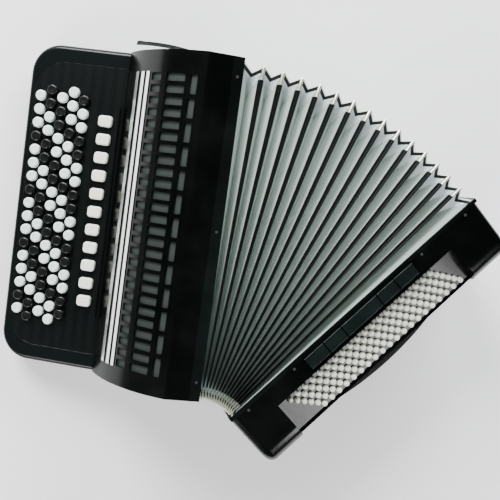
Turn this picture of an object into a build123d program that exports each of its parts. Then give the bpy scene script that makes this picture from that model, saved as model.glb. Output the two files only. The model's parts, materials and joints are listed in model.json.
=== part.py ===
from build123d import *
import math
import os

os.makedirs("parts", exist_ok=True)

# A five-row chromatic button accordion lying on its back, with its bellows fanned open.
# +Z is the front (grille) side, +X runs from the treble side to the bass side and +Y runs
# up the treble case. While the pieces are made, x = 0 is the bellows face of the treble
# frame, y = 0 is the bottom end of the bellows and z = 0 is the surface it lies on.

# Overall sizes
caseDepth = 190.0          # back to front of both cases
bellowsLength = 436.5      # long side of the bellows
frameOverhang = 4.5        # each case end past the bellows end
wall = 6.0                 # case walls
frameThickness = 14.0      # treble bellows frame, across
bassFrameThickness = 5.5   # bass bellows frame, across
frameRim = 17.0            # bellows frames, width of the rim

# Fan of the bellows
foldClosed = 3.25          # one fold, pressed shut
fanAngle = 42.0            # between the two cases
foldDepth = 24.0           # ridge to valley
bellowsInset = 3.0         # bellows below the case faces, back and front
sectionFolds = (3.5, 3.0, 2.0, 3.0, 3.5)  # folds that move together; they meet in valleys
sectionGap = 0.06          # degrees between neighbouring sections

# Treble case and grille
trebleWidth = 136.5        # bellows face to the foot of the grille
bandWidth = 41.5           # plain front band beside the bellows
grilleFlatEnd = 46.0       # where the grille starts to curve down
grilleBulge = 16.0         # of its curve over the straight line to the foot
grilleFoot = 79.0          # height of the foot of the grille
grilleThickness = 3.0
meshThickness = 0.8
meshEnd = 12.0             # bare case past each end of the mesh

# Grille openings
slotRows = 26
slotPitch = 15.05
slotHeight = 10.0
slotDrop = 2.0             # middle of the openings below the middle of the case
slotCorner = 1.0
wideSlotCentre = 80.5
wideSlotWidth = 21.5
narrowSlotCentre = 103.2
narrowSlotWidth = 10.8
tallSlotCentre = 59.6
tallSlotWidth = 8.4
tallSlotHeight = 24.4
stripCentres = (113.6, 119.5, 125.8)
stripWidth = 3.2
stripRise = 1.2
stripLength = 389.0

# Fingerboard
boardWidth = 138.5         # along its slope
boardThickness = 28.0
boardTilt = 20.0           # outer edge lower than the inner edge
boardCorner = 40.0
boardEdge = 6.0

# Treble buttons
buttonRows = 5
buttonPitch = 18.6
rowPitch = 15.65
buttonDiameter = 14.4
buttonRise = 6.2
buttonSkirt = 5.0
buttonClearance = 0.08
buttonTravel = 3.5
buttonRound = 2.0
firstRow = 56.1            # from the inner edge of the board to the innermost row
longRowCount = 18
shortRowCount = 17
wellFloor = 1.5            # left below a pressed button

# Treble register switches
switchCount = 11
switchPitch = 24.9
switchWidth = 19.6
switchLength = 15.4
switchCorner = 4.6
switchRise = 5.0
switchSeat = 0.6           # part of a switch below the board surface
switchCentre = 23.5        # from the inner edge of the board
switchClearance = 0.6
switchPress = 7.0          # degrees
markStripWidth = 2.4
markStripRise = 1.6
markStripCentre = 4.8      # from the inner edge of the board
markStripLength = 290.0

# Treble works
soundBoardFace = 50.0      # bellows face to the sound board
soundBoardTop = 172.0
soundBoardThickness = 8.0
reedBlockCount = 4
reedBlockThickness = 20.0
reedBlockHeight = 42.0
reedBlockPitch = 36.0
reedBlockEnd = 26.0        # from the inside of the case end
palletPitch = 15.6
palletWidth = 12.0
palletLength = 34.0
palletThickness = 7.0
palletSpread = 80.0

# Bass case
bassWidth = 98.0           # bellows face to the outer face
bassShoulder = 32.0        # rounding from the front to the outer face
bassEndRound = 12.0
boardStart = 32.0          # bellows face to the upper edge of the button board
boardTop = 178.0           # height of that edge
boardFoot = 157.5          # height of the lower edge
bassBoardThickness = 5.0
recessLow = 55.0
recessHigh = 377.0
recessWall = 3.0

# Bass buttons
bassRows = 6
bassColumns = 20
bassPitch = 13.64
bassRowPitch = 9.38
bassStagger = 6.54
bassFirstRow = 10.5        # down the slope from the upper edge
bassFirstButton = 72.1
bassButtonDiameter = 8.2
bassButtonRise = 5.5
bassButtonRound = 2.0
bassButtonTail = 8.0
bassTravel = 3.0

# Bass registers, from the bottom up
bassSwitchLengths = (34.0, 32.0, 63.6, 32.0, 34.0)
bassSwitchStart = 120.0
bassSwitchWidth = 18.0
bassSwitchInner = 7.0      # from the bellows face
bassSwitchRise = 3.6
bassSwitchSeat = 0.6
bassSwitchGap = 1.6
bassSwitchPress = 6.0      # degrees

# Bass works and fittings
bassSoundBoardFace = 50.0
bassSoundBoardHeight = 150.0
bassBlockCount = 2
bassBlockThickness = 34.0
bassBlockHeight = 34.0
bassBlockPitch = 64.0
shaftRows = 2
shaftColumns = 6
shaftDiameter = 3.0
shaftPitch = 4.6
shaftRowPitch = 12.0
shaftCentre = 72.5
shaftHeight = 60.0
footDiameter = 11.0
footRise = 4.0
footFromEnd = 26.0
footHeights = (35.0, 150.0)
airButtonDiameter = 15.0
airButtonRise = 7.0
airButtonTravel = 5.0
airButtonFromEnd = 36.0
airButtonHeight = 74.0
handStrapWidth = 70.0
handStrapThickness = 5.0
handStrapBulge = 26.0
handStrapFromEnd = 52.0
wheelDiameter = 24.0
wheelThickness = 7.0
wheelClearance = 0.8
wheelAxle = 5.0
axleClearance = 0.05
wheelFromFace = 76.0

# Bellows straps, pins and strap brackets
strapWidth = 18.0
strapThickness = 2.2
strapReach = 117.0         # length of the open strap, seen from the front
strapRaise = 10.0          # height of its free end over the case
strapBow = 7.0             # rise of its middle over a straight line
strapHinge = 14.0          # fixed end of the strap, from the bellows face
strapClearance = 0.4
strapHeight = 95.0         # middle of both straps
lowerStrapAngle = 34.0     # how far the lower strap reaches round the folds, in degrees
lowerStrapTab = 30.0
snapDiameter = 11.0
snapRise = 2.0
snapFromFace = 22.0
pinDiameter = 4.0
pinRise = 1.0
treblePinFromFace = 7.2
treblePinSpacing = 195.4
bassPinFromFace = 8.4
bassPinPlaces = (22.5, 102.8, 334.0, 415.4)
bracketWidth = 24.0
bracketThickness = 3.0
bracketReach = 18.0
bracketHole = 8.0
bracketFromFace = 92.0
bracketHeight = 30.0

# What follows from the sizes above
caseLow = -frameOverhang
caseHigh = bellowsLength + frameOverhang
caseLength = caseHigh - caseLow
caseMiddle = (caseLow + caseHigh) / 2
trebleLow = -strapClearance            # the lower strap lies on this end and clears the folds
trebleLength = caseHigh - trebleLow
trebleMiddle = (trebleLow + caseHigh) / 2
fanRadians = math.radians(fanAngle)
foldCount = sum(sectionFolds)
closedThickness = foldCount * foldClosed
fanRadius = closedThickness / (2 * math.sin(fanRadians / 2))
wellDepth = buttonSkirt + buttonTravel + wellFloor
switchWell = switchSeat + switchWidth * math.sin(math.radians(switchPress)) + switchClearance
bassSwitchWell = bassSwitchSeat + bassSwitchWidth * math.sin(math.radians(bassSwitchPress)) + switchClearance
slopeRun = bassWidth - wall - boardStart
slopeAngle = math.atan2(boardTop - boardFoot, slopeRun)
slopeLength = math.hypot(slopeRun, boardTop - boardFoot)

# The board plane is the top of the fingerboard, with its origin at the inner edge. The bass
# planes are turned by the fan angle about the apex of the fan, and the slope plane is the
# top of the bass button board.
tilt = math.radians(boardTilt)
boardPlane = Plane(
    origin=(-trebleWidth, 0, grilleFoot),
    x_dir=(math.cos(tilt), 0, math.sin(tilt)),
    z_dir=(-math.sin(tilt), 0, math.cos(tilt)),
)
bassOut = Vector(math.cos(fanRadians), -math.sin(fanRadians), 0)
bassUp = Vector(math.sin(fanRadians), math.cos(fanRadians), 0)
bassOrigin = Vector(fanRadius * math.sin(fanRadians), fanRadius * (math.cos(fanRadians) - 1), 0)
bassPlan = Plane(origin=bassOrigin, x_dir=bassOut, z_dir=(0, 0, 1))
bassSection = Plane(origin=bassOrigin, x_dir=bassOut, z_dir=bassUp * -1)
bassFace = Plane(origin=bassOrigin, x_dir=bassUp, z_dir=bassOut)
slopePlane = Plane(
    origin=bassOrigin + bassOut * boardStart + Vector(0, 0, boardTop),
    x_dir=bassOut * math.cos(slopeAngle) - Vector(0, 0, math.sin(slopeAngle)),
    z_dir=bassOut * math.sin(slopeAngle) + Vector(0, 0, math.cos(slopeAngle)),
)


def grille_outline(inset):
    """Face under the grille: flat at the front and curving down to the foot, drawn smaller by inset."""
    top = caseDepth - inset
    chord = math.hypot(trebleWidth - grilleFlatEnd, caseDepth - grilleFoot)
    radius = chord ** 2 / (8 * grilleBulge) + grilleBulge / 2
    inward = (radius - grilleBulge) / chord
    centreX = -(trebleWidth + grilleFlatEnd) / 2 + inward * (caseDepth - grilleFoot)
    centreZ = (caseDepth + grilleFoot) / 2 - inward * (trebleWidth - grilleFlatEnd)
    radius -= inset
    startAngle = math.asin((top - centreZ) / radius)
    endAngle = math.asin((grilleFoot - centreZ) / radius)
    start, middle, end = (
        (centreX - radius * math.cos(angle), centreZ + radius * math.sin(angle))
        for angle in (startAngle, (startAngle + endAngle) / 2, endAngle)
    )
    with BuildSketch() as outline:
        with BuildLine():
            ThreePointArc(start, middle, end)
            Polyline(end, (-bandWidth, grilleFoot), (-bandWidth, top), start)
        make_face()
    return outline.sketch


def bass_outline(inset):
    """Section of the bass case with its rounded shoulder, drawn smaller by inset."""
    top = caseDepth - inset
    outer = bassWidth - inset
    radius = bassShoulder - inset
    with BuildSketch() as outline:
        with BuildLine():
            Polyline(
                (outer - radius, top),
                (bassFrameThickness, top),
                (bassFrameThickness, inset),
                (outer, inset),
                (outer, top - radius),
            )
            CenterArc((outer - radius, top - radius), radius=radius, start_angle=0, arc_size=90)
        make_face()
    return outline.sketch


# ---- treble side
with BuildPart() as treble_case:
    with BuildSketch(Plane.XZ.offset(-caseHigh)):
        with Locations((-(trebleWidth + frameThickness) / 2, grilleFoot / 2)):
            Rectangle(trebleWidth - frameThickness, grilleFoot)
        add(grille_outline(grilleThickness))
        with Locations((-(bandWidth + frameThickness) / 2, (caseDepth + grilleFoot) / 2)):
            Rectangle(bandWidth - frameThickness, caseDepth - grilleFoot)
    extrude(amount=trebleLength)
    with BuildSketch(Plane.XZ.offset(wall - caseHigh)):
        with Locations((-(trebleWidth - wall + bandWidth) / 2, (caseDepth + wall) / 2)):
            Rectangle(trebleWidth - wall - bandWidth, caseDepth - wall)
        with Locations((-(bandWidth + frameThickness) / 2, caseDepth / 2)):
            Rectangle(bandWidth - frameThickness, caseDepth - 2 * wall)
    extrude(amount=trebleLength - 2 * wall, mode=Mode.SUBTRACT)
treble_case.part.label = "treble_case"

with BuildPart() as grille:
    with BuildSketch(Plane.XZ.offset(-caseHigh)):
        add(grille_outline(0))
    extrude(amount=trebleLength)
    with BuildSketch(Plane.XZ.offset(-caseHigh)):
        add(grille_outline(grilleThickness))
    extrude(amount=trebleLength, mode=Mode.SUBTRACT)
    with BuildSketch(Plane.XY.offset(caseDepth)):
        with Locations((-wideSlotCentre, trebleMiddle - slotDrop)):
            with GridLocations(0, slotPitch, 1, slotRows):
                RectangleRounded(wideSlotWidth, slotHeight, slotCorner)
        with Locations((-narrowSlotCentre, trebleMiddle - slotDrop)):
            with GridLocations(0, slotPitch, 1, slotRows):
                RectangleRounded(narrowSlotWidth, slotHeight, slotCorner)
        with Locations((-tallSlotCentre, trebleMiddle - slotDrop)):
            with GridLocations(0, 2 * slotPitch, 1, slotRows // 2):
                RectangleRounded(tallSlotWidth, tallSlotHeight, slotCorner)
    extrude(amount=grilleFoot - caseDepth, mode=Mode.SUBTRACT)
grille.part.label = "grille"

with BuildPart() as grille_mesh:
    meshLeft = narrowSlotCentre + narrowSlotWidth / 2 + slotCorner
    meshRight = tallSlotCentre - tallSlotWidth / 2 - slotCorner
    with BuildSketch(Plane.XZ.offset(meshEnd - caseHigh)):
        add(grille_outline(grilleThickness))
    extrude(amount=trebleLength - 2 * meshEnd)
    with BuildSketch(Plane.XZ.offset(meshEnd - caseHigh)):
        add(grille_outline(grilleThickness + meshThickness))
    extrude(amount=trebleLength - 2 * meshEnd, mode=Mode.SUBTRACT)
    with BuildSketch(Plane.XY.offset(grilleFoot)):
        with Locations((-(meshLeft + meshRight) / 2, trebleMiddle)):
            Rectangle(meshLeft - meshRight, trebleLength)
    extrude(amount=caseDepth - grilleFoot, mode=Mode.INTERSECT)
grille_mesh.part.label = "grille_mesh"

with BuildPart() as chrome_strips:
    stripPlane = Plane.XZ.offset(slotDrop - trebleMiddle - stripLength / 2)
    with BuildSketch(stripPlane):
        add(grille_outline(-stripRise))
    extrude(amount=stripLength)
    with BuildSketch(stripPlane):
        add(grille_outline(0))
    extrude(amount=stripLength, mode=Mode.SUBTRACT)
    with BuildSketch(Plane.XY.offset(grilleFoot)):
        for centre in stripCentres:
            with Locations((-centre, trebleMiddle)):
                Rectangle(stripWidth, trebleLength)
    extrude(amount=caseDepth, mode=Mode.INTERSECT)
chrome_strips.part.label = "chrome_strips"

with BuildPart() as treble_bellows_frame:
    with BuildSketch(Plane.YZ):
        with Locations((trebleMiddle, caseDepth / 2)):
            Rectangle(trebleLength, caseDepth)
            Rectangle(trebleLength - 2 * frameRim, caseDepth - 2 * frameRim, mode=Mode.SUBTRACT)
    extrude(amount=-frameThickness)
treble_bellows_frame.part.label = "treble_bellows_frame"


def row_place(row):
    """Centre line of a treble row on the board; row 1 is the outermost."""
    return -firstRow - (buttonRows - row) * rowPitch


def row_count(row):
    """Even rows stand half a pitch off the odd ones and hold one button more."""
    return longRowCount if row % 2 == 0 else shortRowCount


# The fingerboard slopes away from the foot of the grille, with a well for each button and
# for each register switch.
with BuildPart() as fingerboard:
    with BuildSketch(boardPlane):
        with Locations(((boardThickness - boardWidth) / 2, trebleMiddle)):
            Rectangle(boardWidth + boardThickness, trebleLength)
        fillet(vertices().sort_by(Axis.X)[:2], radius=boardCorner)
    extrude(amount=-boardThickness)
    normalAxis = Axis(boardPlane.origin, boardPlane.z_dir)
    topEdges = fingerboard.faces().sort_by(normalAxis)[-1].edges().sort_by(Axis.X)[:-1]
    backEdges = fingerboard.faces().sort_by(normalAxis)[0].edges().sort_by(Axis.X)[:-1]
    fillet(topEdges + backEdges, radius=boardEdge)
    split(bisect_by=Plane.YZ.offset(-trebleWidth), keep=Keep.BOTTOM)
    with BuildSketch(boardPlane):
        for row in range(1, buttonRows + 1):
            with Locations((row_place(row), trebleMiddle)):
                with GridLocations(0, buttonPitch, 1, row_count(row)):
                    Circle(buttonDiameter / 2 + buttonClearance)
    extrude(amount=-wellDepth, mode=Mode.SUBTRACT)
    with BuildSketch(boardPlane):
        with Locations((-switchCentre, trebleMiddle)):
            with GridLocations(0, switchPitch, 1, switchCount):
                RectangleRounded(
                    switchWidth + 2 * switchClearance, switchLength + 2 * switchClearance, switchCorner
                )
    extrude(amount=-switchWell, mode=Mode.SUBTRACT)
fingerboard.part.label = "fingerboard"

trebleRows = []
for row in range(1, buttonRows + 1):
    with BuildPart() as treble_row:
        with BuildSketch(boardPlane.offset(-buttonSkirt)):
            with Locations((row_place(row), trebleMiddle)):
                with GridLocations(0, buttonPitch, 1, row_count(row)):
                    Circle(buttonDiameter / 2)
        extrude(amount=buttonSkirt + buttonRise)
        fillet(
            [solid.faces().sort_by(normalAxis)[-1].edges()[0] for solid in treble_row.solids()],
            radius=buttonRound,
        )
    treble_row.part.label = f"treble_row_{row}"
    trebleRows.append(treble_row)

trebleSwitches = []
for number in range(switchCount):
    with BuildPart() as treble_register:
        with BuildSketch(boardPlane.offset(-switchSeat)):
            with Locations((-switchCentre, trebleMiddle + (number - (switchCount - 1) / 2) * switchPitch)):
                RectangleRounded(switchWidth, switchLength, switchCorner)
        extrude(amount=switchSeat + switchRise)
        fillet(treble_register.faces().sort_by(normalAxis)[-1].edges(), radius=switchCorner / 2)
    treble_register.part.label = f"treble_register_{number + 1}"
    trebleSwitches.append(treble_register)

with BuildPart() as mark_strip:
    with BuildSketch(boardPlane):
        with Locations((-markStripCentre, trebleMiddle)):
            Rectangle(markStripWidth, markStripLength)
    extrude(amount=markStripRise)
mark_strip.part.label = "mark_strip"

# Works inside the treble case: the sound board with its reed blocks on the bellows side
# and its pallets on the other.
with BuildPart() as treble_sound_board:
    with BuildSketch(Plane.YZ.offset(-soundBoardFace)):
        with Locations((trebleMiddle, (wall + soundBoardTop) / 2)):
            Rectangle(trebleLength - 2 * wall, soundBoardTop - wall)
    extrude(amount=-soundBoardThickness)
treble_sound_board.part.label = "treble_sound_board"

with BuildPart() as treble_reed_blocks:
    with BuildSketch(Plane.YZ.offset(-soundBoardFace)):
        with Locations((trebleMiddle, caseDepth / 2)):
            with GridLocations(0, reedBlockPitch, 1, reedBlockCount):
                Rectangle(trebleLength - 2 * wall - 2 * reedBlockEnd, reedBlockThickness)
    extrude(amount=reedBlockHeight, taper=2)
treble_reed_blocks.part.label = "treble_reed_blocks"

with BuildPart() as treble_pallets:
    with BuildSketch(Plane.YZ.offset(-soundBoardFace - soundBoardThickness)):
        with Locations((trebleMiddle, caseDepth / 2)):
            with GridLocations(palletPitch, palletSpread, slotRows, 2):
                Rectangle(palletWidth, palletLength)
    extrude(amount=-palletThickness)
treble_pallets.part.label = "treble_pallets"

with BuildPart() as treble_pins:
    with BuildSketch(Plane.XY.offset(caseDepth)):
        with Locations((-treblePinFromFace, trebleMiddle)):
            with GridLocations(0, treblePinSpacing, 1, 3):
                Circle(pinDiameter / 2)
    extrude(amount=pinRise)
treble_pins.part.label = "treble_pins"

with BuildPart() as strap_brackets:
    for end, way in ((caseHigh, 1), (trebleLow, -1)):
        with BuildSketch(Plane.XY.offset(bracketHeight - bracketWidth / 2)):
            with Locations((-bracketFromFace, end + way * bracketThickness / 2)):
                Rectangle(bracketWidth, bracketThickness)
        extrude(amount=bracketWidth)
        with BuildSketch(Plane.YZ.offset(-bracketFromFace - bracketThickness / 2)):
            with Locations((end + way * (bracketReach - bracketWidth / 2 + bracketThickness) / 2, bracketHeight)):
                Rectangle(bracketReach - bracketWidth / 2 + bracketThickness, bracketWidth * 0.7)
            with Locations((end + way * (bracketReach - bracketWidth / 2 + bracketThickness), bracketHeight)):
                Circle(bracketWidth * 0.35)
                Circle(bracketHole / 2, mode=Mode.SUBTRACT)
        extrude(amount=bracketThickness)
strap_brackets.part.label = "strap_brackets"

# The upper bellows strap hangs open: it rises off the case from its fixed end and bows over.
strapLow = strapHeight - strapWidth / 2
strapRoot = (-strapHinge, caseHigh + strapClearance)
strapTip = (-strapHinge - strapReach, caseHigh + strapRaise)
strapMiddle = (-strapHinge - strapReach / 2, caseHigh + strapRaise / 2 + strapBow)
with BuildPart() as upper_strap:
    with BuildSketch(Plane.XY.offset(strapLow)):
        with BuildLine():
            lower = ThreePointArc(strapRoot, strapMiddle, strapTip)
            upper = ThreePointArc(
                (strapRoot[0], strapRoot[1] + strapThickness),
                (strapMiddle[0], strapMiddle[1] + strapThickness),
                (strapTip[0], strapTip[1] + strapThickness),
            )
            Line(lower @ 0, upper @ 0)
            Line(lower @ 1, upper @ 1)
        make_face()
    extrude(amount=strapWidth)
    with BuildSketch(Plane(origin=(strapTip[0] + snapDiameter / 2 + 1, strapTip[1] + strapThickness / 2, strapHeight),
                           x_dir=(1, 0, 0), z_dir=(0, 1, 0))):
        Circle(snapDiameter / 2)
    extrude(amount=strapThickness / 2 + snapRise)
upper_strap.part.label = "upper_strap"

# The lower bellows strap lies against the case end and goes round under the closed ends of
# the folds, short of the bass frame.
with BuildPart() as lower_strap:
    outerRadius = fanRadius + trebleLow
    innerRadius = outerRadius - strapThickness
    with BuildSketch(Plane.XY.offset(strapLow)):
        with BuildLine():
            outerArc = CenterArc((0, -fanRadius), outerRadius, 90, -lowerStrapAngle)
            innerArc = CenterArc((0, -fanRadius), innerRadius, 90, -lowerStrapAngle)
            Line(outerArc @ 1, innerArc @ 1)
            Polyline(
                outerArc @ 0,
                (-lowerStrapTab, trebleLow),
                (-lowerStrapTab, trebleLow - strapThickness),
                innerArc @ 0,
            )
        make_face()
    extrude(amount=strapWidth)
lower_strap.part.label = "lower_strap"

with BuildPart() as treble_snaps:
    with BuildSketch(Plane(origin=(-snapFromFace, trebleLow - strapThickness, strapHeight), z_dir=(0, -1, 0))):
        Circle(snapDiameter / 2)
    extrude(amount=snapRise)
    with BuildSketch(Plane(origin=(-strapHinge / 2, caseHigh, strapHeight), x_dir=(1, 0, 0), z_dir=(0, 1, 0))):
        Circle(snapDiameter / 3)
    extrude(amount=snapRise)
treble_snaps.part.label = "treble_snaps"

# ---- bellows: each section is a wedge-shaped ring of folds about the apex of the fan
bellowsSections = []
foldAngle = fanAngle / foldCount
fanAxis = Axis((0, -fanRadius, 0), (0, 0, 1))
foldsBefore = 0
for number, folds in enumerate(sectionFolds):
    startAngle = math.radians(foldsBefore * foldAngle + sectionGap)
    radial = Vector(math.sin(startAngle), math.cos(startAngle), 0)
    ringPlane = Plane(origin=(0, -fanRadius, 0), x_dir=radial, z_dir=radial.cross(Vector(0, 0, 1)))
    with BuildPart() as bellows_section:
        with BuildSketch(ringPlane):
            with Locations((fanRadius + bellowsLength / 2, caseDepth / 2)):
                Rectangle(bellowsLength, caseDepth - 2 * bellowsInset)
                Rectangle(
                    bellowsLength - 2 * foldDepth,
                    caseDepth - 2 * bellowsInset - 2 * foldDepth,
                    mode=Mode.SUBTRACT,
                )
        revolve(axis=fanAxis, revolution_arc=-(folds * foldAngle - 2 * sectionGap))
    bellows_section.part.label = f"bellows_section_{number + 1}"
    bellowsSections.append(bellows_section)
    foldsBefore += folds

# ---- bass side
with BuildPart() as bass_bellows_frame:
    with BuildSketch(bassFace):
        with Locations((caseMiddle, caseDepth / 2)):
            Rectangle(caseLength, caseDepth)
            Rectangle(caseLength - 2 * frameRim, caseDepth - 2 * frameRim, mode=Mode.SUBTRACT)
    extrude(amount=bassFrameThickness)
bass_bellows_frame.part.label = "bass_bellows_frame"

switchPlaces = []
place = bassSwitchStart
for length in bassSwitchLengths:
    switchPlaces.append(place + length / 2)
    place += length
airButtonPlane = Plane(
    origin=bassPlan.from_local_coords(Vector(bassWidth, caseHigh - airButtonFromEnd, airButtonHeight)),
    x_dir=bassUp,
    z_dir=bassOut,
)
wheelPlane = Plane(
    origin=bassPlan.from_local_coords(Vector(wheelFromFace, caseHigh, airButtonHeight)),
    x_dir=(0, 0, 1),
    z_dir=bassUp,
)

# The bass case is a shell, open to the bellows, with a sloping recess for the button board.
with BuildPart() as bass_case:
    with BuildSketch(bassSection.offset(-caseHigh)):
        add(bass_outline(0))
    extrude(amount=caseLength)
    endEdges = []
    for endFace in (bass_case.faces().sort_by(Axis(bassOrigin, bassUp))[0],
                    bass_case.faces().sort_by(Axis(bassOrigin, bassUp))[-1]):
        for edge in endFace.edges():
            spot = bassPlan.to_local_coords(edge @ 0.5)
            if spot.X > bassFrameThickness + 1 and spot.Z > 1:
                endEdges.append(edge)
    fillet(endEdges, radius=bassEndRound)
    with BuildSketch(bassSection.offset(wall - caseHigh)):
        add(bass_outline(wall))
    extrude(amount=caseLength - 2 * wall, mode=Mode.SUBTRACT)
    with BuildSketch(bassFace.offset(bassFrameThickness)):
        with Locations((caseMiddle, caseDepth / 2)):
            Rectangle(caseLength - 2 * wall, caseDepth - 2 * wall)
    extrude(amount=1, mode=Mode.SUBTRACT)
    for low, high in ((recessLow - recessWall, recessLow), (recessHigh, recessHigh + recessWall)):
        with BuildSketch(bassSection.offset(-high)):
            with BuildLine():
                Polyline(
                    (boardStart, boardTop),
                    (boardStart, caseDepth - wall),
                    (bassWidth - bassShoulder, caseDepth - wall),
                    (bassWidth - wall, caseDepth - bassShoulder),
                    (bassWidth - wall, boardFoot),
                    (boardStart, boardTop),
                )
            make_face()
            with BuildLine():
                Polyline(
                    (bassWidth - bassShoulder, caseDepth - wall),
                    (bassWidth - wall, caseDepth - bassShoulder),
                )
                CenterArc(
                    (bassWidth - bassShoulder, caseDepth - bassShoulder),
                    radius=bassShoulder - wall,
                    start_angle=0,
                    arc_size=90,
                )
            make_face()
        extrude(amount=high - low)
    with BuildSketch(bassSection.offset(-recessHigh - recessWall)):
        with Locations((boardStart - recessWall / 2, (boardTop + caseDepth - wall) / 2)):
            Rectangle(recessWall, caseDepth - wall - boardTop)
    extrude(amount=recessHigh - recessLow + 2 * recessWall)
    with BuildSketch(bassSection.offset(-recessHigh)):
        with BuildLine():
            Polyline(
                (boardStart, boardTop),
                (boardStart, caseDepth + wall),
                (bassWidth + wall, caseDepth + wall),
                (bassWidth + wall, boardFoot),
                (bassWidth - wall, boardFoot),
                (boardStart, boardTop),
            )
        make_face()
    extrude(amount=recessHigh - recessLow, mode=Mode.SUBTRACT)
    with BuildSketch(bassPlan.offset(caseDepth)):
        for centre, length in zip(switchPlaces, bassSwitchLengths):
            with Locations((bassSwitchInner + bassSwitchWidth / 2, centre)):
                Rectangle(bassSwitchWidth + switchClearance, length - bassSwitchGap + switchClearance)
    extrude(amount=-bassSwitchWell, mode=Mode.SUBTRACT)
    with BuildSketch(airButtonPlane):
        Circle(airButtonDiameter / 2 + buttonClearance)
    extrude(amount=-wall, mode=Mode.SUBTRACT)
    with BuildSketch(wheelPlane):
        Circle(wheelAxle / 2 + axleClearance)
    extrude(amount=-wall, mode=Mode.SUBTRACT)
bass_case.part.label = "bass_case"


def bass_button_places(row):
    """Places of the buttons of one bass row on the slope; row 1 is next to the registers."""
    return [
        (bassFirstRow + (row - 1) * bassRowPitch, bassFirstButton + (row - 1) * bassStagger + column * bassPitch)
        for column in range(bassColumns)
    ]


with BuildPart() as bass_button_board:
    with BuildSketch(slopePlane):
        with Locations((slopeLength / 2, (recessLow + recessHigh) / 2)):
            Rectangle(slopeLength, recessHigh - recessLow)
        for row in range(1, bassRows + 1):
            with Locations(bass_button_places(row)):
                Circle(bassButtonDiameter / 2 + buttonClearance, mode=Mode.SUBTRACT)
    extrude(amount=-bassBoardThickness)
bass_button_board.part.label = "bass_button_board"

slopeAxis = Axis(slopePlane.origin, slopePlane.z_dir)
bassButtonRows = []
for row in range(1, bassRows + 1):
    with BuildPart() as bass_row:
        with BuildSketch(slopePlane.offset(-bassButtonTail)):
            with Locations(bass_button_places(row)):
                Circle(bassButtonDiameter / 2)
        extrude(amount=bassButtonTail + bassButtonRise)
        fillet(
            [solid.faces().sort_by(slopeAxis)[-1].edges()[0] for solid in bass_row.solids()],
            radius=bassButtonRound,
        )
    bass_row.part.label = f"bass_row_{row}"
    bassButtonRows.append(bass_row)

bassSwitches = []
for number in range(len(bassSwitchLengths)):
    with BuildPart() as bass_register:
        with BuildSketch(bassPlan.offset(caseDepth - bassSwitchSeat)):
            with Locations((bassSwitchInner + bassSwitchWidth / 2, switchPlaces[number])):
                Rectangle(bassSwitchWidth, bassSwitchLengths[number] - bassSwitchGap)
        extrude(amount=bassSwitchSeat + bassSwitchRise)
        fillet(bass_register.faces().sort_by(Axis.Z)[-1].edges(), radius=switchClearance)
    bass_register.part.label = f"bass_register_{number + 1}"
    bassSwitches.append(bass_register)

with BuildPart() as bass_sound_board:
    with BuildSketch(bassFace.offset(bassSoundBoardFace)):
        with Locations((caseMiddle, (wall + bassSoundBoardHeight) / 2)):
            Rectangle(caseLength - 2 * wall, bassSoundBoardHeight - wall)
    extrude(amount=soundBoardThickness)
bass_sound_board.part.label = "bass_sound_board"

with BuildPart() as bass_reed_blocks:
    with BuildSketch(bassFace.offset(bassSoundBoardFace)):
        with Locations((caseMiddle, (wall + bassSoundBoardHeight) / 2)):
            with GridLocations(0, bassBlockPitch, 1, bassBlockCount):
                Rectangle(caseLength - 2 * wall - 2 * reedBlockEnd, bassBlockThickness)
    extrude(amount=-bassBlockHeight, taper=2)
bass_reed_blocks.part.label = "bass_reed_blocks"

with BuildPart() as bass_shafts:
    with BuildSketch(bassSection.offset(wall - caseHigh)):
        with Locations((shaftCentre, shaftHeight)):
            with GridLocations(shaftPitch, shaftRowPitch, shaftColumns, shaftRows):
                Circle(shaftDiameter / 2)
    extrude(amount=caseLength - 2 * wall)
bass_shafts.part.label = "bass_shafts"

with BuildPart() as bass_pins:
    with BuildSketch(bassPlan.offset(caseDepth)):
        with Locations([(bassPinFromFace, pinPlace) for pinPlace in bassPinPlaces]):
            Circle(pinDiameter / 2)
    extrude(amount=pinRise)
bass_pins.part.label = "bass_pins"

with BuildPart() as bass_feet:
    with BuildSketch(bassFace.offset(bassWidth)):
        for footHeight in footHeights:
            with Locations((caseLow + footFromEnd, footHeight), (caseHigh - footFromEnd, footHeight)):
                Circle(footDiameter / 2)
    extrude(amount=footRise)
bass_feet.part.label = "bass_feet"

strapFootLow = caseLow + handStrapFromEnd
strapFootHigh = caseHigh - handStrapFromEnd
with BuildPart() as bass_strap:
    with BuildSketch(bassPlan.offset(airButtonHeight - handStrapWidth / 2)):
        with BuildLine():
            inside = ThreePointArc(
                (bassWidth, strapFootLow + handStrapThickness * 3),
                (bassWidth + handStrapBulge, caseMiddle),
                (bassWidth, strapFootHigh - handStrapThickness * 3),
            )
            outside = ThreePointArc(
                (bassWidth, strapFootLow),
                (bassWidth + handStrapBulge + handStrapThickness, caseMiddle),
                (bassWidth, strapFootHigh),
            )
            Line(inside @ 0, outside @ 0)
            Line(inside @ 1, outside @ 1)
        make_face()
    extrude(amount=handStrapWidth)
bass_strap.part.label = "bass_strap"

with BuildPart() as air_button:
    with BuildSketch(airButtonPlane.offset(-wall)):
        Circle(airButtonDiameter / 2)
    extrude(amount=wall + airButtonRise)
    fillet(air_button.faces().sort_by(Axis(bassOrigin, bassOut))[-1].edges(), radius=buttonRound)
air_button.part.label = "air_button"

with BuildPart() as strap_wheel:
    with BuildSketch(wheelPlane.offset(-wall)):
        Circle(wheelAxle / 2)
    extrude(amount=wall + wheelClearance)
    with BuildSketch(wheelPlane.offset(wheelClearance)):
        Circle(wheelDiameter / 2)
    extrude(amount=wheelThickness)
    chamfer(strap_wheel.faces().sort_by(Axis(bassOrigin, bassUp))[-1].edges(), length=wheelClearance)
strap_wheel.part.label = "strap_wheel"

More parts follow.
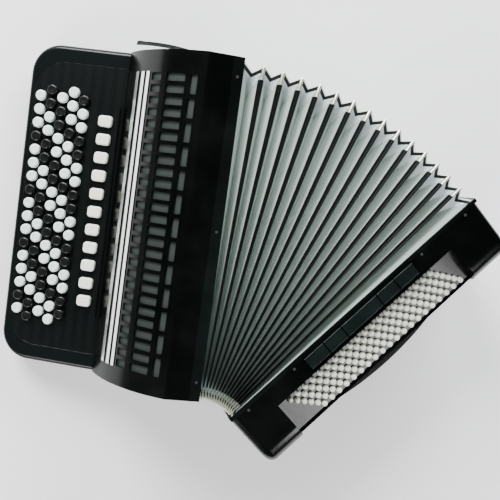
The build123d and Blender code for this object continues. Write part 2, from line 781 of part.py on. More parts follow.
with BuildPart() as bass_snaps:
    for end, way in ((caseHigh, 1), (caseLow, -1)):
        snapOrigin = bassPlan.from_local_coords(Vector(snapFromFace, end, strapHeight))
        with BuildSketch(Plane(origin=snapOrigin, z_dir=bassUp * way)):
            Circle(snapDiameter / 2)
        extrude(amount=snapRise)
bass_snaps.part.label = "bass_snaps"

# ---- the whole, with its origin under the middle of its bounding box
pieces = [
    treble_case,
    treble_bellows_frame,
    fingerboard,
    grille,
    grille_mesh,
    chrome_strips,
    mark_strip,
    treble_sound_board,
    treble_reed_blocks,
    treble_pallets,
    treble_pins,
    strap_brackets,
    upper_strap,
    lower_strap,
    treble_snaps,
    bass_case,
    bass_bellows_frame,
    bass_button_board,
    bass_sound_board,
    bass_reed_blocks,
    bass_shafts,
    bass_pins,
    bass_feet,
    bass_strap,
    bass_snaps,
    air_button,
    strap_wheel,
]
pieces += trebleRows + trebleSwitches + bellowsSections + bassButtonRows + bassSwitches

boxes = [piece.part.bounding_box() for piece in pieces]
middleX = (min(box.min.X for box in boxes) + max(box.max.X for box in boxes)) / 2
middleY = (min(box.min.Y for box in boxes) + max(box.max.Y for box in boxes)) / 2
for piece in pieces:
    piece.part.move(Location((-middleX, -middleY, 0)))
    export_step(piece.part, f"parts/{piece.part.label}.step")
print("pieces:", len(pieces), "origin moved by", round(middleX, 4), round(middleY, 4))
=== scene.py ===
import bpy
import json
import math
import numpy as np
from mathutils import Matrix, Vector


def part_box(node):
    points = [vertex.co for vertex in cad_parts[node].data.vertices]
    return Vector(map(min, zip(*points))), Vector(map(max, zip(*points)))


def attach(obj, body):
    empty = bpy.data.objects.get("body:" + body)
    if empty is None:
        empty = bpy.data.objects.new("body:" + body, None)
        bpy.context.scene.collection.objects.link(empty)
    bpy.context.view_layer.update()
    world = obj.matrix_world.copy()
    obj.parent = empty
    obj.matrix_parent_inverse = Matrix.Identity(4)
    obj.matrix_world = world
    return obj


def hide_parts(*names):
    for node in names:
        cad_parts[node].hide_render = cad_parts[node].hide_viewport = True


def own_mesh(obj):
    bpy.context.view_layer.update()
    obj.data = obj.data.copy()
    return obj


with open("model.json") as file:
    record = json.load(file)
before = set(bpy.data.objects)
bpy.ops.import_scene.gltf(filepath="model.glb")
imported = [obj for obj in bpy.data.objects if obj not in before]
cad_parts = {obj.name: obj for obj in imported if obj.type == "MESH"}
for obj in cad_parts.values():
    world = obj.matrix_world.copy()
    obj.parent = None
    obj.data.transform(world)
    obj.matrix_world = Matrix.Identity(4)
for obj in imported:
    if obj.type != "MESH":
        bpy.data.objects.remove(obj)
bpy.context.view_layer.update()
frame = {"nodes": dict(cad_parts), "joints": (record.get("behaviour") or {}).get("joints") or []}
print("frame loaded")

# ---- directions and places read from the frame
joints = {joint["name"]: joint for joint in frame["joints"]}
fanAngle = math.radians(joints["bellows_fan"]["range_deg"][1])
boardNormal = -Vector(joints["treble_row_1_press"]["axis"]).normalized()
boardAcross = Vector((0, 1, 0)).cross(boardNormal)
slopeNormal = -Vector(joints["bass_row_1_press"]["axis"]).normalized()
bassUp = Vector(joints["bass_register_1_press"]["axis"]).normalized()
bassOut = bassUp.cross(Vector((0, 0, 1)))
slopeAcross = bassUp.cross(slopeNormal)
frameLow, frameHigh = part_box("treble_bellows_frame")


def extents(node, *axes):
    # lowest and highest reach of a node along each axis
    count = len(frame["nodes"][node].data.vertices)
    flat = np.empty(count * 3, np.float32)
    frame["nodes"][node].data.vertices.foreach_get("co", flat)
    reach = flat.reshape(-1, 3).astype(float) @ np.array([tuple(axis) for axis in axes]).T
    return reach.min(0), reach.max(0)


# ---- camera, lights and floor
view = {
    "place": (-0.16673, 0.27273, 1.10063),     # from the bottom end of the bellows, at the treble frame
    "right": (0.968456, 0.136487, 0.208482),
    "up": (-0.117206, 0.98783, -0.102252),
    "back": (-0.219901, 0.074591, 0.972666),
    "focal": 730.3 / 500,                      # of the width of the frame
    "sensor": 36.0,
}
pastFolds = 0.0004                             # the treble case reaches past the ends of the folds by this
originX, originY = frameHigh.x, frameLow.y + pastFolds

camera = bpy.data.objects.new("camera", bpy.data.cameras.new("camera"))
bpy.context.scene.collection.objects.link(camera)
camera.data.sensor_width = view["sensor"]
camera.data.lens = view["focal"] * view["sensor"]
camera.data.clip_end = 20
turn = Matrix((view["right"], view["up"], view["back"])).transposed().to_4x4()
camera.matrix_world = Matrix.Translation(Vector(view["place"]) + Vector((originX, originY, 0))) @ turn
bpy.context.scene.camera = camera

lampTarget = Vector((0, 0, 0.1))
lamps = {
    "keyLamp": {"at": (-1.5, 2.0, 1.5), "size": (1.2, 1.2), "power": 190, "colour": (1.0, 1.0, 1.0)},
    "topLamp": {"at": (0.5, 2.2, 1.1), "size": (1.4, 0.6), "power": 90, "colour": (0.92, 0.96, 1.0)},
    "rightLamp": {"at": (2.2, -1.5, 1.6), "size": (1.2, 1.2), "power": 60, "colour": (1.0, 1.0, 1.0)},
    "lowLamp": {"at": (-1.4, -1.9, 1.4), "size": (1.4, 0.8), "power": 60, "colour": (1.0, 1.0, 1.0)},
}
for name, lamp in lamps.items():
    light = bpy.data.lights.new(name, "AREA")
    light.shape = "RECTANGLE"
    light.size, light.size_y = lamp["size"]
    light.energy = lamp["power"]
    light.color = lamp["colour"]
    holder = bpy.data.objects.new(name, light)
    bpy.context.scene.collection.objects.link(holder)
    holder.location = lamp["at"]
    holder.rotation_euler = (lampTarget - Vector(lamp["at"])).to_track_quat("-Z", "Y").to_euler()

sky = {"Color": (0.95, 0.98, 1.0, 1), "Strength": 0.07}
world = bpy.data.worlds.new("studio")
bpy.context.scene.world = world
world.use_nodes = True
for name, value in sky.items():
    world.node_tree.nodes["Background"].inputs[name].default_value = value


# ---- shader maths: an expression on wires adds its nodes
class Wire:
    def __init__(self, paint, socket):
        self.paint, self.socket = paint, socket

    def math(self, operation, *others):
        sockets = dict(enumerate((self,) + others))
        return self.paint.node("ShaderNodeMath", {"operation": operation}, sockets)

    def __add__(self, other): return self.math("ADD", other)
    def __sub__(self, other): return self.math("SUBTRACT", other)
    def __mul__(self, other): return self.math("MULTIPLY", other)
    def __neg__(self): return self.math("MULTIPLY", -1.0)
    def __radd__(self, other): return self.math("ADD", other)
    def __rmul__(self, other): return self.math("MULTIPLY", other)
    def __rsub__(self, other): return (-self).math("ADD", other)
    def __abs__(self): return self.math("ABSOLUTE")
    def most(self, other): return self.math("MAXIMUM", other)
    def sine(self): return self.math("SINE")
    def root(self): return self.math("SQRT")

    def between(self, low, high):
        # 0 below low, 1 above high, smooth in between
        sockets = {0: self, 1: low, 2: high, 3: 0.0, 4: 1.0}
        return self.paint.node("ShaderNodeMapRange", {"interpolation_type": "SMOOTHSTEP"}, sockets)


class Paint:
    def __init__(self, name, **shader):
        self.material = bpy.data.materials.new(name)
        self.material.use_nodes = True
        self.tree = self.material.node_tree
        self.shader = self.tree.nodes["Principled BSDF"]
        self.feed(**shader)

    def node(self, kind, settings=None, sockets=None, out=0):
        made = self.tree.nodes.new(kind)
        for key, value in (settings or {}).items():
            setattr(made, key, value)
        for key, value in (sockets or {}).items():
            self.put(made.inputs[key], value)
        return Wire(self, made.outputs[out])

    def put(self, socket, value):
        if isinstance(value, Wire):
            self.tree.links.new(value.socket, socket)
        elif isinstance(value, tuple) and len(value) == 3 and socket.type == "RGBA":
            socket.default_value = value + (1.0,)
        else:
            socket.default_value = value

    def feed(self, **shader):
        for key, value in shader.items():
            self.put(self.shader.inputs[key.replace("_", " ")], value)

    def place(self, shift=(0, 0, 0), scale=(1, 1, 1)):
        # object coordinates less a shift, then stretched
        where = self.node("ShaderNodeTexCoord", out="Object")
        moved = self.node("ShaderNodeVectorMath", {"operation": "SUBTRACT"}, {0: where, 1: shift})
        return self.node("ShaderNodeMapping", {"vector_type": "POINT"}, {"Vector": moved, "Scale": scale})

    def parts(self, vector):
        # the three numbers of a vector
        split = self.node("ShaderNodeSeparateXYZ", sockets={0: vector})
        return split, Wire(self, split.socket.node.outputs[1]), Wire(self, split.socket.node.outputs[2])

    def flatMap(self):
        # the two numbers of the piece's own UV map
        split = self.node("ShaderNodeSeparateXYZ", sockets={0: self.node("ShaderNodeTexCoord", out="UV")})
        return split, Wire(self, split.socket.node.outputs[1])

    def noise(self, scale, detail, rough, where=None):
        return self.node(
            "ShaderNodeTexNoise", None,
            {"Vector": where or self.place(), "Scale": scale, "Detail": detail, "Roughness": rough},
        )

    def blend(self, share, first, second):
        return self.node("ShaderNodeMix", {"data_type": "RGBA"}, {0: share, 6: first, 7: second}, out=2)

    def bump(self, height, distance, strength):
        sockets = {"Height": height, "Distance": distance, "Strength": strength}
        return self.node("ShaderNodeBump", None, sockets)


# ---- finishes
polish = {
    "cloudScale": 9, "fineScale": 220, "paleGain": 2.6, "paleLift": 0.0015,   # pale = gain x colour + lift
    "ripple": 0.0012, "rippleStrength": 0.35,
    # colour and roughness of each black
    "celluloidBlack": ((0.0006, 0.0008, 0.0008), 0.1),
    "frameBlack": ((0.0012, 0.002, 0.0018), 0.16),
    "grilleLacquer": ((0.0006, 0.0008, 0.0008), 0.14),
    "bassBoardBlack": ((0.0008, 0.001, 0.001), 0.16),
    "bassRegisterGreen": ((0.004, 0.0068, 0.006), 0.13),
}


def polishedBlack(name):
    # celluloid: nearly black, with faint cloudy depth and a soft ripple under the polish
    colour, rough = polish[name]
    paint = Paint(name, Specular_IOR_Level=0.22, Coat_Weight=0.04, Coat_Roughness=0.05)
    cloud = paint.noise(polish["cloudScale"], 4, 0.6)
    fine = paint.noise(polish["fineScale"], 2, 0.5)
    pale = tuple(polish["paleGain"] * c + polish["paleLift"] for c in colour)
    paint.feed(
        Base_Color=paint.blend(cloud.between(0.35, 0.75), colour, pale),
        Roughness=rough + fine * 0.07 + cloud * 0.05,
        Normal=paint.bump(cloud * 0.6 + fine * 0.02, polish["ripple"], polish["rippleStrength"]),
    )
    return paint.material


caseBlack = polishedBlack("celluloidBlack")
frameBlack = polishedBlack("frameBlack")
grilleBlack = polishedBlack("grilleLacquer")
bassBoardBlack = polishedBlack("bassBoardBlack")
registerDark = polishedBlack("bassRegisterGreen")

board = {
    "sideRim": 0.0045, "endRim": 0.023, "corner": 0.045,     # of the field, from the edges of the board
    "pitch": 0.0029, "slowPitch": 0.0029 * 5.3,              # of the ribs, and of a slower swell under them
    "edge": 0.0006, "depth": 0.0004,
    "ribColours": ((0.0032, 0.0052, 0.0048), (0.0006, 0.0009, 0.0009)),
}


def ribbedBoard():
    # fingerboard: a smooth rounded rim about a field of fine ribs running along the board
    low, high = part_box("fingerboard")
    width, length = (high.x - low.x) / boardNormal.z, high.y - low.y
    paint = Paint("ribbedBoard", Specular_IOR_Level=0.16, Coat_Weight=0.03, Coat_Roughness=0.1)
    middle = ((low.x + high.x) / 2, (low.y + high.y) / 2, (low.z + high.z) / 2)
    across, along, _ = paint.parts(paint.place(shift=middle))
    across = across * (1 / boardNormal.z)
    sideways = (-across - (width / 2 - board["sideRim"] - board["corner"])).most(0.0)
    endways = (abs(along) - (length / 2 - board["endRim"] - board["corner"])).most(0.0)
    fromCorner = (sideways * sideways + endways * endways).root() - board["corner"]
    inside = 1 - fromCorner.between(-board["edge"], board["edge"])
    rib = (across * (2 * math.pi / board["pitch"])).sine()
    step = (across * (2 * math.pi / board["slowPitch"])).sine()
    cloud = paint.noise(14, 3, 0.6)
    tone = inside * (rib * 0.3 + step * 0.2 + 0.5)
    paint.feed(
        Base_Color=paint.blend(tone, *board["ribColours"]),
        Roughness=0.2 + inside * 0.14 + cloud * 0.06,
        Normal=paint.bump(inside * (rib * 0.5 + step * 0.35 - 1.2), board["depth"], 0.8),
    )
    return paint.material


screen = {
    "warpPitch": 0.0031, "weftPitch": 0.0022, "ground": (0.004, 0.006, 0.0055), "wire": (0.045, 0.062, 0.054),
}


def wovenMesh():
    # grille cloth: fine grey-green wires crossing over dark ground
    paint = Paint("grilleMesh", Roughness=0.55, Specular_IOR_Level=0.3)
    across, along, _ = paint.parts(paint.place())
    warp = (across * (2 * math.pi / screen["warpPitch"])).sine()
    weft = (along * (2 * math.pi / screen["weftPitch"])).sine()
    over = (warp * weft).between(-0.35, 0.5)
    worn = paint.noise(60, 2, 0.5)
    paint.feed(
        Base_Color=paint.blend(over * (0.55 + worn * 0.6), screen["ground"], screen["wire"]),
        Normal=paint.bump(over, 0.0004, 0.7),
    )
    return paint.material


def brightMetal(name, colour, rough):
    # polished metal with long faint smears along Y
    paint = Paint(name, Metallic=1.0)
    smear = paint.noise(40, 4, 0.65, paint.place(scale=(1, 0.15, 1)))
    paint.feed(
        Base_Color=paint.blend(smear, tuple(0.82 * c for c in colour), colour),
        Roughness=rough + smear * 0.12,
        Normal=paint.bump(smear, 0.0001, 0.4),
    )
    return paint.material


def pearl(name, deep, pale, rough=0.22):
    # moulded button plastic with faint swirls
    paint = Paint(name, Coat_Weight=0.1, Coat_Roughness=0.08, Specular_IOR_Level=0.3)
    swirl = paint.node(
        "ShaderNodeTexNoise", None,
        {"Vector": paint.place(), "Scale": 95.0, "Detail": 3.0, "Distortion": 1.8},
    )
    fine = paint.noise(420, 2, 0.5)
    paint.feed(
        Base_Color=paint.blend(swirl.between(0.3, 0.7), deep, pale),
        Roughness=rough + fine * 0.08,
        Normal=paint.bump(fine, 0.0001, 0.25),
    )
    return paint.material


def leather():
    # black leather: a fine cell grain over cloudy wear
    paint = Paint("strapLeather", Specular_IOR_Level=0.35)
    grain = paint.node(
        "ShaderNodeTexVoronoi", {"feature": "DISTANCE_TO_EDGE"}, {"Vector": paint.place(), "Scale": 720.0}
    )
    cloud = paint.noise(30, 3, 0.6)
    paint.feed(
        Base_Color=paint.blend(cloud, (0.0015, 0.0018, 0.0018), (0.005, 0.0053, 0.0053)),
        Roughness=0.36 + cloud * 0.2,
        Normal=paint.bump(grain.between(0.0, 0.12) + cloud * 0.3, 0.0003, 0.7),
    )
    return paint.material


def rubber():
    # matt rubber with a fine grit
    paint = Paint("footRubber", Specular_IOR_Level=0.3)
    grit = paint.noise(900, 3, 0.6)
    paint.feed(
        Base_Color=paint.blend(grit, (0.008, 0.009, 0.009), (0.022, 0.023, 0.023)),
        Roughness=0.6 + grit * 0.2,
        Normal=paint.bump(grit, 0.0002, 0.6),
    )
    return paint.material


def timber():
    # spruce with its grain along Y
    paint = Paint("innerTimber", Roughness=0.55)
    grain = paint.noise(26, 5, 0.6, paint.place(scale=(5, 0.25, 5)))
    paint.feed(
        Base_Color=paint.blend(grain.between(0.3, 0.7), (0.38, 0.24, 0.12), (0.62, 0.45, 0.27)),
        Normal=paint.bump(grain, 0.0004, 0.4),
    )
    return paint.material


def felt():
    # red pallet felt
    paint = Paint("palletFelt", Roughness=0.9, Sheen_Weight=0.4)
    fluff = paint.noise(700, 4, 0.7)
    paint.feed(
        Base_Color=paint.blend(fluff, (0.28, 0.03, 0.03), (0.5, 0.08, 0.07)),
        Normal=paint.bump(fluff, 0.0006, 0.8),
    )
    return paint.material


chrome = brightMetal("stripChrome", (0.86, 0.9, 0.86), 0.12)
steel = brightMetal("shaftSteel", (0.56, 0.57, 0.57), 0.28)
whitePearl = pearl("buttonWhite", (0.62, 0.76, 0.68), (0.86, 0.93, 0.87))
blackPearl = pearl("buttonBlack", (0.0015, 0.0017, 0.002), (0.005, 0.006, 0.006), 0.28)
bassPearl = pearl("bassButtonCream", (0.78, 0.82, 0.7), (0.92, 0.93, 0.82))
cream = pearl("registerCream", (0.8, 0.83, 0.72), (0.92, 0.93, 0.84))
wood, hide = timber(), leather()

finishes = {
    "treble_case": caseBlack, "bass_case": caseBlack, "treble_bellows_frame": frameBlack,
    "bass_bellows_frame": frameBlack, "fingerboard": ribbedBoard(), "grille": grilleBlack,
    "grille_mesh": wovenMesh(), "chrome_strips": chrome, "mark_strip": frameBlack,
    "treble_sound_board": wood, "treble_reed_blocks": wood, "treble_pallets": felt(),
    "bass_sound_board": wood, "bass_reed_blocks": wood, "treble_pins": chrome, "bass_pins": chrome,
    "strap_brackets": chrome, "treble_snaps": chrome, "bass_snaps": chrome, "upper_strap": hide,
    "lower_strap": hide, "bass_strap": hide, "bass_button_board": bassBoardBlack,
    "bass_shafts": steel, "bass_feet": rubber(), "air_button": cream, "strap_wheel": bassBoardBlack,
}
for node, thing in frame["nodes"].items():
    if node.startswith("treble_register"):
        finish = cream
    elif node.startswith("bass_register"):
        finish = registerDark
    elif node.startswith("treble_row") or node.startswith("bass_row"):
        finish = whitePearl
    elif node.startswith("bellows_section"):
        finish = frameBlack
    else:
        finish = finishes[node]
    thing.data.materials.clear()
    thing.data.materials.append(finish)
print("finishes made")


# ---- meshes from arrays
def quads(rows, columns, closeColumns=False):
    # faces of a grid of points: each joins (row, column) to the next column and the next row
    last = columns if closeColumns else columns - 1
    row, column = np.meshgrid(np.arange(rows - 1), np.arange(last), indexing="ij")
    after = (column + 1) % columns
    low, high = row * columns, (row + 1) * columns
    return np.stack((low + column, low + after, high + after, high + column), -1).reshape(-1, 4)


def meshPiece(name, points, faces, materials, slots=None, flat=None, smooth=False):
    # flat: one pair of numbers per point, kept as the piece's UV map
    points, faces = np.asarray(points, float).reshape(-1, 3), np.asarray(faces, int)
    mesh = bpy.data.meshes.new(name)
    mesh.vertices.add(len(points))
    mesh.vertices.foreach_set("co", points.ravel().astype(np.float32))
    mesh.loops.add(faces.size)
    mesh.loops.foreach_set("vertex_index", faces.ravel().astype(np.int32))
    mesh.polygons.add(len(faces))
    mesh.polygons.foreach_set("loop_start", np.arange(0, faces.size, faces.shape[1], dtype=np.int32))
    if flat is not None:
        sheet = mesh.uv_layers.new(name="flat")
        sheet.data.foreach_set("uv", np.asarray(flat, np.float32).reshape(-1, 2)[faces.ravel()].ravel())
    for material in materials:
        mesh.materials.append(material)
    if slots is not None:
        mesh.polygons.foreach_set("material_index", np.asarray(slots, np.int32))
    mesh.polygons.foreach_set("use_smooth", np.full(len(faces), smooth))
    mesh.update(calc_edges=True)
    mesh.validate()
    piece = bpy.data.objects.new(name, mesh)
    bpy.context.scene.collection.objects.link(piece)
    return piece


def repeated(points, faces, centres):
    # one shape set down at each centre
    everywhere = (centres[:, None, :] + points[None, :, :]).reshape(-1, 3)
    steps = (np.arange(len(centres)) * len(points))[:, None, None]
    return everywhere, (faces[None, :, :] + steps).reshape(-1, faces.shape[1])


def turned(profile, segments, axis, side):
    # point = radius (cos a side + sin a other) + height axis, for each (radius, height) pair of the profile
    axis, side = np.array(axis, float), np.array(side, float)
    other = np.cross(axis, side)
    angle = np.linspace(0, 2 * math.pi, segments, endpoint=False)
    ring = np.cos(angle)[:, None] * side + np.sin(angle)[:, None] * other
    profile = np.array(profile, float)
    points = profile[:, 0][:, None, None] * ring[None, :, :] + profile[:, 1][:, None, None] * axis
    return points.reshape(-1, 3), quads(len(profile), segments, closeColumns=True)


# ---- treble buttons: a short skirt, a rounded shoulder and a slightly dished top
trebleButtons = {
    "radius": 0.0072, "skirt": 0.005, "rise": 0.0062, "shoulder": 0.0024, "dish": 0.00035,
    "segments": 28, "steps": 6,
    # colours of each row from the top down, outermost row first
    "rows": (
        "wwwbwwwbwwwbwwwbw",
        "bbwwbbwwbbwwbbwwbb",
        "wbbwwbbwwbbwwbbww",
        "wwwbwwwbwwwbwwwbww",
        "bwwbbwwbbwwbbwwbb",
    ),
}
poleShare = 0.0005           # radius of the innermost ring, as a share of the flat top's


def buttonProfile(size):
    # skirt, then a quarter round: radius = edge + shoulder cos(a), height = rise - shoulder + shoulder sin(a),
    # then a top dished by dish (1 - s^2) at a share s of its radius
    edge = size["radius"] - size["shoulder"]
    turn = np.linspace(0, math.pi / 2, size["steps"])
    shoulder = [(edge + size["shoulder"] * math.cos(a),
                 size["rise"] - size["shoulder"] + size["shoulder"] * math.sin(a)) for a in turn]
    top = [(edge * s, size["rise"] - size["dish"] * (1 - s * s)) for s in (0.66, 0.33, poleShare)]
    return [(size["radius"], -size["skirt"])] + shoulder + top


def rowCentres(node, size, along, across, normal, count):
    # evenly spaced places from one end of a row to the other, where its buttons meet the board
    low, high = extents(node, along, across, normal)
    first, last = low[0] + size["radius"], high[0] - size["radius"]
    base = np.array(across) * (low[1] + high[1]) / 2 + np.array(normal) * (low[2] + size["skirt"])
    return base[None, :] + np.linspace(first, last, count)[:, None] * np.array(along)[None, :]


for number, colours in enumerate(trebleButtons["rows"]):
    node = f"treble_row_{number + 1}"
    centres = rowCentres(node, trebleButtons, (0, 1, 0), boardAcross, boardNormal, len(colours))[::-1]
    profile = buttonProfile(trebleButtons)
    shape, faces = turned(profile, trebleButtons["segments"], boardNormal, (0, 1, 0))
    points, everyFace = repeated(shape, faces, centres)
    slots = np.repeat([0 if colour == "w" else 1 for colour in colours], len(faces))
    plastics = [whitePearl, blackPearl]
    row = meshPiece(f"treble_buttons_{number + 1}", points, everyFace, plastics, slots, smooth=True)
    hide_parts(node)
    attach(row, node)
print("treble buttons made")

# ---- bass buttons: small domes
bassButtons = {
    "radius": 0.0041, "skirt": 0.008, "rise": 0.0055, "shoulder": 0.0025, "dish": 0.0,
    "segments": 12, "steps": 4, "rows": 6, "columns": 20,
}
for number in range(bassButtons["rows"]):
    node = f"bass_row_{number + 1}"
    centres = rowCentres(node, bassButtons, bassUp, slopeAcross, slopeNormal, bassButtons["columns"])
    shape, faces = turned(buttonProfile(bassButtons), bassButtons["segments"], slopeNormal, bassUp)
    points, everyFace = repeated(shape, faces, centres)
    row = meshPiece(f"bass_buttons_{number + 1}", points, everyFace, [bassPearl], smooth=True)
    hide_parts(node)
    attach(row, node)
print("bass buttons made")

# ---- bellows
bellows = {
    "length": 0.4365, "height": 0.184, "middle": 0.095, "foldClosed": 0.00325, "depth": 0.024,
    "sections": (3.5, 3.0, 2.0, 3.0, 3.5), "uneven": 0.017, "leafSteps": 6, "sideSteps": 4,
    "tapeReach": 0.0075, "tapeLift": 0.0006, "cornerLeg": 0.018, "cornerReach": 0.0036,
    "cornerLift": 0.0009, "round": 0.003, "bandSteps": 4, "bendSteps": 4, "runSteps": 9, "sideways": 0.7,
    "rim": 0.0015, "gussetStart": 0.003, "gussetEnd": 0.032,    # from the corner of the outline
    "gussetDip": 0.009,                          # of a valley at the corner itself
    "keep": 0.16, "anchorReach": 0.25,           # share of the width left when shut, and the anchor from the apex
}
foldCount = sum(bellows["sections"])
apexGap = foldCount * bellows["foldClosed"] / (2 * math.sin(fanAngle / 2))
apex = np.array((originX, originY - apexGap, 0.0))


def foldAngle(place):
    # angle of a place counted in folds; the folds stand a little wider on the treble side
    share = np.asarray(place, float) / foldCount
    return fanAngle * (share + 4 * bellows["uneven"] * share * (1 - share))


def ringPlace(side, along, outward, angle):
    # (outward, along) turned a quarter per side about the middle of the outline, then swung about the apex:
    # x = reach sin(angle), y = reach cos(angle), z = height
    quarter = (np.array((1, 0, -1, 0))[side], np.array((0, 1, 0, -1))[side])
    reach = apexGap + bellows["length"] / 2 + outward * quarter[0] - along * quarter[1]
    height = bellows["middle"] + outward * quarter[1] + along * quarter[0]
    return np.stack((apex[0] + reach * np.sin(angle), apex[1] + reach * np.cos(angle), height), -1)


def halfSizes(side, inset):
    # half of the outline across and along a side
    long, short = bellows["length"] / 2 - inset, bellows["height"] / 2 - inset
    return (long, short) if side % 2 == 0 else (short, long)


def leafPoints(first, last):
    # inset = the smaller of depth (1 - crest) and dip (1 - crest) + gusset slope x distance from the corner,
    # with crest = |1 - 2 frac(place)|: 1 on a ridge and 0 in a valley
    steps = int(round((last - first) * 2)) * bellows["leafSteps"] + 1
    place = np.linspace(first, last, steps)[:, None]
    crest = np.abs(1 - 2 * (place % 1.0))
    dip = bellows["gussetDip"] * (1 - crest)
    angle = foldAngle(place)
    nearby = np.linspace(bellows["gussetStart"], bellows["gussetEnd"], bellows["leafSteps"] + 1)
    nearby = np.concatenate(((0.0, bellows["rim"]), nearby))
    rings, flats = [], []
    gussetSlope = (bellows["depth"] - bellows["gussetDip"]) / (bellows["gussetEnd"] - bellows["gussetStart"])
    for side in range(4):
        across, half = halfSizes(side, 0.0)
        middle = np.linspace(nearby[-1], half, bellows["sideSteps"] + 1)[1:]
        distance = np.concatenate((nearby, middle))
        distance = np.concatenate((distance, distance[-2:0:-1]))[None, :]
        way = np.where(np.arange(distance.size) < distance.size / 2, -1.0, 1.0)[None, :]
        gusset = np.clip(distance - bellows["gussetStart"], 0, None) * gussetSlope
        inset = np.minimum(bellows["depth"] * (1 - crest), dip + gusset)
        along = way * (half - dip) * (1 - distance / half)
        rings.append(ringPlace(side, along, across - inset, angle))
        flats.append(np.stack(np.broadcast_arrays(distance, crest), -1))
    points = np.concatenate(rings, 1)
    return points, quads(points.shape[0], points.shape[1], closeColumns=True), np.concatenate(flats, 1)


def ridgeBand(ridge, side, along, outwardDrop, reach, lift):
    # a band folded over a ridge: over runs from -1 to 1 across it, drop = reach |over| down each leaf, and it
    # stands off the leaf by lift (1 - over^4)
    over = np.linspace(-1, 1, 2 * bellows["bandSteps"] + 1)[:, None]
    drop = reach * np.abs(over)
    raise_ = lift * (1 - np.abs(over) ** 4)
    place = ridge + np.sign(over) * drop / bellows["depth"] / 2
    outward, _ = halfSizes(side, drop)
    span = apexGap + bellows["length"] / 2
    angle = foldAngle(place) + np.sign(over) * raise_ * bellows["sideways"] / span
    return ringPlace(side, along, outward - outwardDrop + raise_, angle)


def cornerRun(half):
    # half a corner piece: a straight leg, then an eighth of a turn up to the corner of the outline;
    # along = half - round + round sin(bend), drop = round (1 - cos(bend))
    soft = bellows["round"]
    bend = np.linspace(0, math.pi / 4, bellows["bendSteps"])
    along = np.concatenate(((half - bellows["cornerLeg"],), half - soft + soft * np.sin(bend)))
    drop = np.concatenate(((0.0,), soft * (1 - np.cos(bend))))
    return along[None, :], drop[None, :]


def joined(grids):
    # several grids of points as one list of points and faces
    points, faces, start = [], [], 0
    for grid in grids:
        points.append(grid.reshape(-1, 3))
        faces.append(quads(grid.shape[0], grid.shape[1]) + start)
        start += grid.shape[0] * grid.shape[1]
    return np.concatenate(points), np.concatenate(faces)


cloth = {
    "dotPitch": 0.0032, "slant": 0.7,
    "gusset": (0.030, 0.033), "gussetLean": 0.029,     # white leather, by distance from the corner
    # a black band is painted from about 2 to 8 mm from each corner of the outline
    "binding": (0.0078, 0.0086), "rim": (0.0020, 0.0024),
    # ridge and valley colours are painted light: the valleys are paler to offset the shade that falls in the deep
    # folds
    "ridge": ((0.25, 0.3, 0.27), (0.38, 0.45, 0.41)), "valley": ((0.5, 0.58, 0.53), (0.68, 0.78, 0.72)),
    "leather": ((0.6, 0.68, 0.7), (0.84, 0.9, 0.93)),
    "bindingColour": (0.004, 0.006, 0.006), "rimColour": (0.72, 0.78, 0.7),
}


def foldCloth():
    # pressed card covered in dotted grey-green cloth, with white leather gussets and a black band near each
    # corner;
    # the cloth is painted lighter towards each valley and darker towards each ridge, painted light against the
    # shade in the folds;
    # dots = sin(across + slant up) sin(along + slant up)
    paint = Paint("foldCloth", Specular_IOR_Level=0.25)
    fromCorner, crest = paint.flatMap()
    across, along, up = paint.parts(paint.place())
    turns = 2 * math.pi / cloth["dotPitch"]
    lean = up * cloth["slant"]
    dots = ((across + lean) * turns).sine() * ((along + lean) * turns).sine()
    cloud = paint.noise(35, 3, 0.6)
    gusset = 1 - (fromCorner + crest * cloth["gussetLean"]).between(*cloth["gusset"])
    # black band from about 2 to 8 mm from each corner, with a slightly uneven edge
    binding = 1 - (fromCorner + cloud * 0.001).between(*cloth["binding"])
    rim = 1 - fromCorner.between(*cloth["rim"])
    weave = dots.between(0.1, 0.8) * 0.5 + cloud * 0.4
    # painted light: the leaf colour runs from dark on the ridges to pale in the valleys, against the shade in the
    # folds
    leaf = paint.blend(
        crest.between(0.1, 0.9), paint.blend(weave, *cloth["valley"]), paint.blend(weave, *cloth["ridge"])
    )
    skin = paint.blend(cloud, *cloth["leather"])
    withDarkBand = paint.blend(binding, paint.blend(gusset, leaf, skin), cloth["bindingColour"])
    paint.feed(
        Base_Color=paint.blend(rim, withDarkBand, cloth["rimColour"]),
        Roughness=0.5 + cloud * 0.2,
        Normal=paint.bump(dots * 0.3 + cloud * 0.5, 0.0003, 0.6),
    )
    return paint.material


def ridgeTape():
    # black tape with a fine weave
    paint = Paint("ridgeTape", Specular_IOR_Level=0.12, Roughness=0.45)
    weave = paint.noise(900, 2, 0.6)
    paint.feed(
        Base_Color=paint.blend(weave, (0.0006, 0.0008, 0.0008), (0.0025, 0.003, 0.003)),
        Normal=paint.bump(weave, 0.0002, 0.5),
    )
    return paint.material


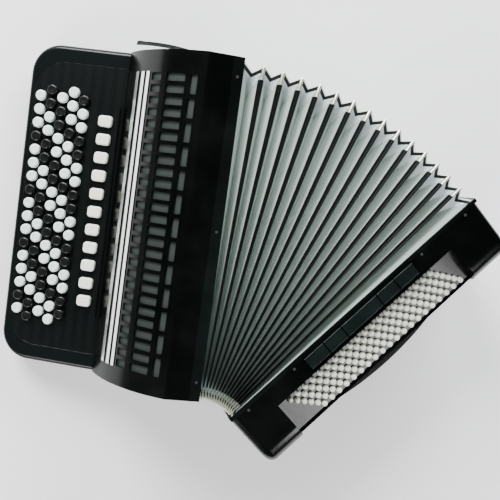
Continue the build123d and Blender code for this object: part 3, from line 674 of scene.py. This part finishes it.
clothFinish, tapeFinish = foldCloth(), ridgeTape()
cornerFinish = brightMetal("cornerNickel", (0.92, 0.94, 0.8), 0.3)
cornerSize = (bellows["cornerReach"], bellows["cornerLift"])
boundaries = np.concatenate(((0,), np.cumsum(bellows["sections"])))
for number, (first, last) in enumerate(zip(boundaries[:-1], boundaries[1:])):
    body, node = f"folds_{number + 1}", f"bellows_section_{number + 1}"
    ridges = [ridge for ridge in range(1, int(foldCount)) if first < ridge < last]
    points, faces, flat = leafPoints(first, last)
    leaves = meshPiece(f"bellows_leaves_{number + 1}", points, faces, [clothFinish], flat=flat)
    tapes, corners = [], []
    for ridge in ridges:
        for side in range(4):
            half, nextSide = halfSizes(side, 0.0)[1], (side + 1) % 4
            run = np.linspace(bellows["cornerLeg"] - half, half - bellows["cornerLeg"], bellows["runSteps"])
            tapes.append(ridgeBand(ridge, side, run[None, :], 0.0, bellows["tapeReach"], bellows["tapeLift"]))
            toCorner, drop = cornerRun(half)
            fromCorner, _ = cornerRun(halfSizes(nextSide, 0.0)[1])
            corners.append(ridgeBand(ridge, side, toCorner, drop, *cornerSize))
            corners.append(ridgeBand(ridge, nextSide, -fromCorner[:, ::-1], drop[:, ::-1], *cornerSize))
    tape = meshPiece(f"bellows_tape_{number + 1}", *joined(tapes), [tapeFinish], smooth=True)
    corner = meshPiece(f"bellows_corners_{number + 1}", *joined(corners), [cornerFinish], smooth=True)
    for piece in (leaves, tape, corner):
        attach(piece, body)
        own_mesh(piece)
    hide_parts(node)
print("bellows made")

# ---- floor
ground = {"size": 6.0, "glow": 0.3, "colours": ((0.9, 0.9, 0.9), (0.93, 0.93, 0.93))}
floorPaint = Paint("paleFloor", Roughness=0.9, Specular_IOR_Level=0.1)
floorPaint.feed(Emission_Color=(1.0, 1.0, 1.0), Emission_Strength=ground["glow"])
floorPaint.feed(Base_Color=floorPaint.blend(floorPaint.noise(3, 2, 0.5), *ground["colours"]))
half = ground["size"] / 2
floor = meshPiece(
    "floor", [(-half, -half, 0), (half, -half, 0), (half, half, 0), (-half, half, 0)], [(0, 1, 2, 3)],
    [floorPaint.material]
)
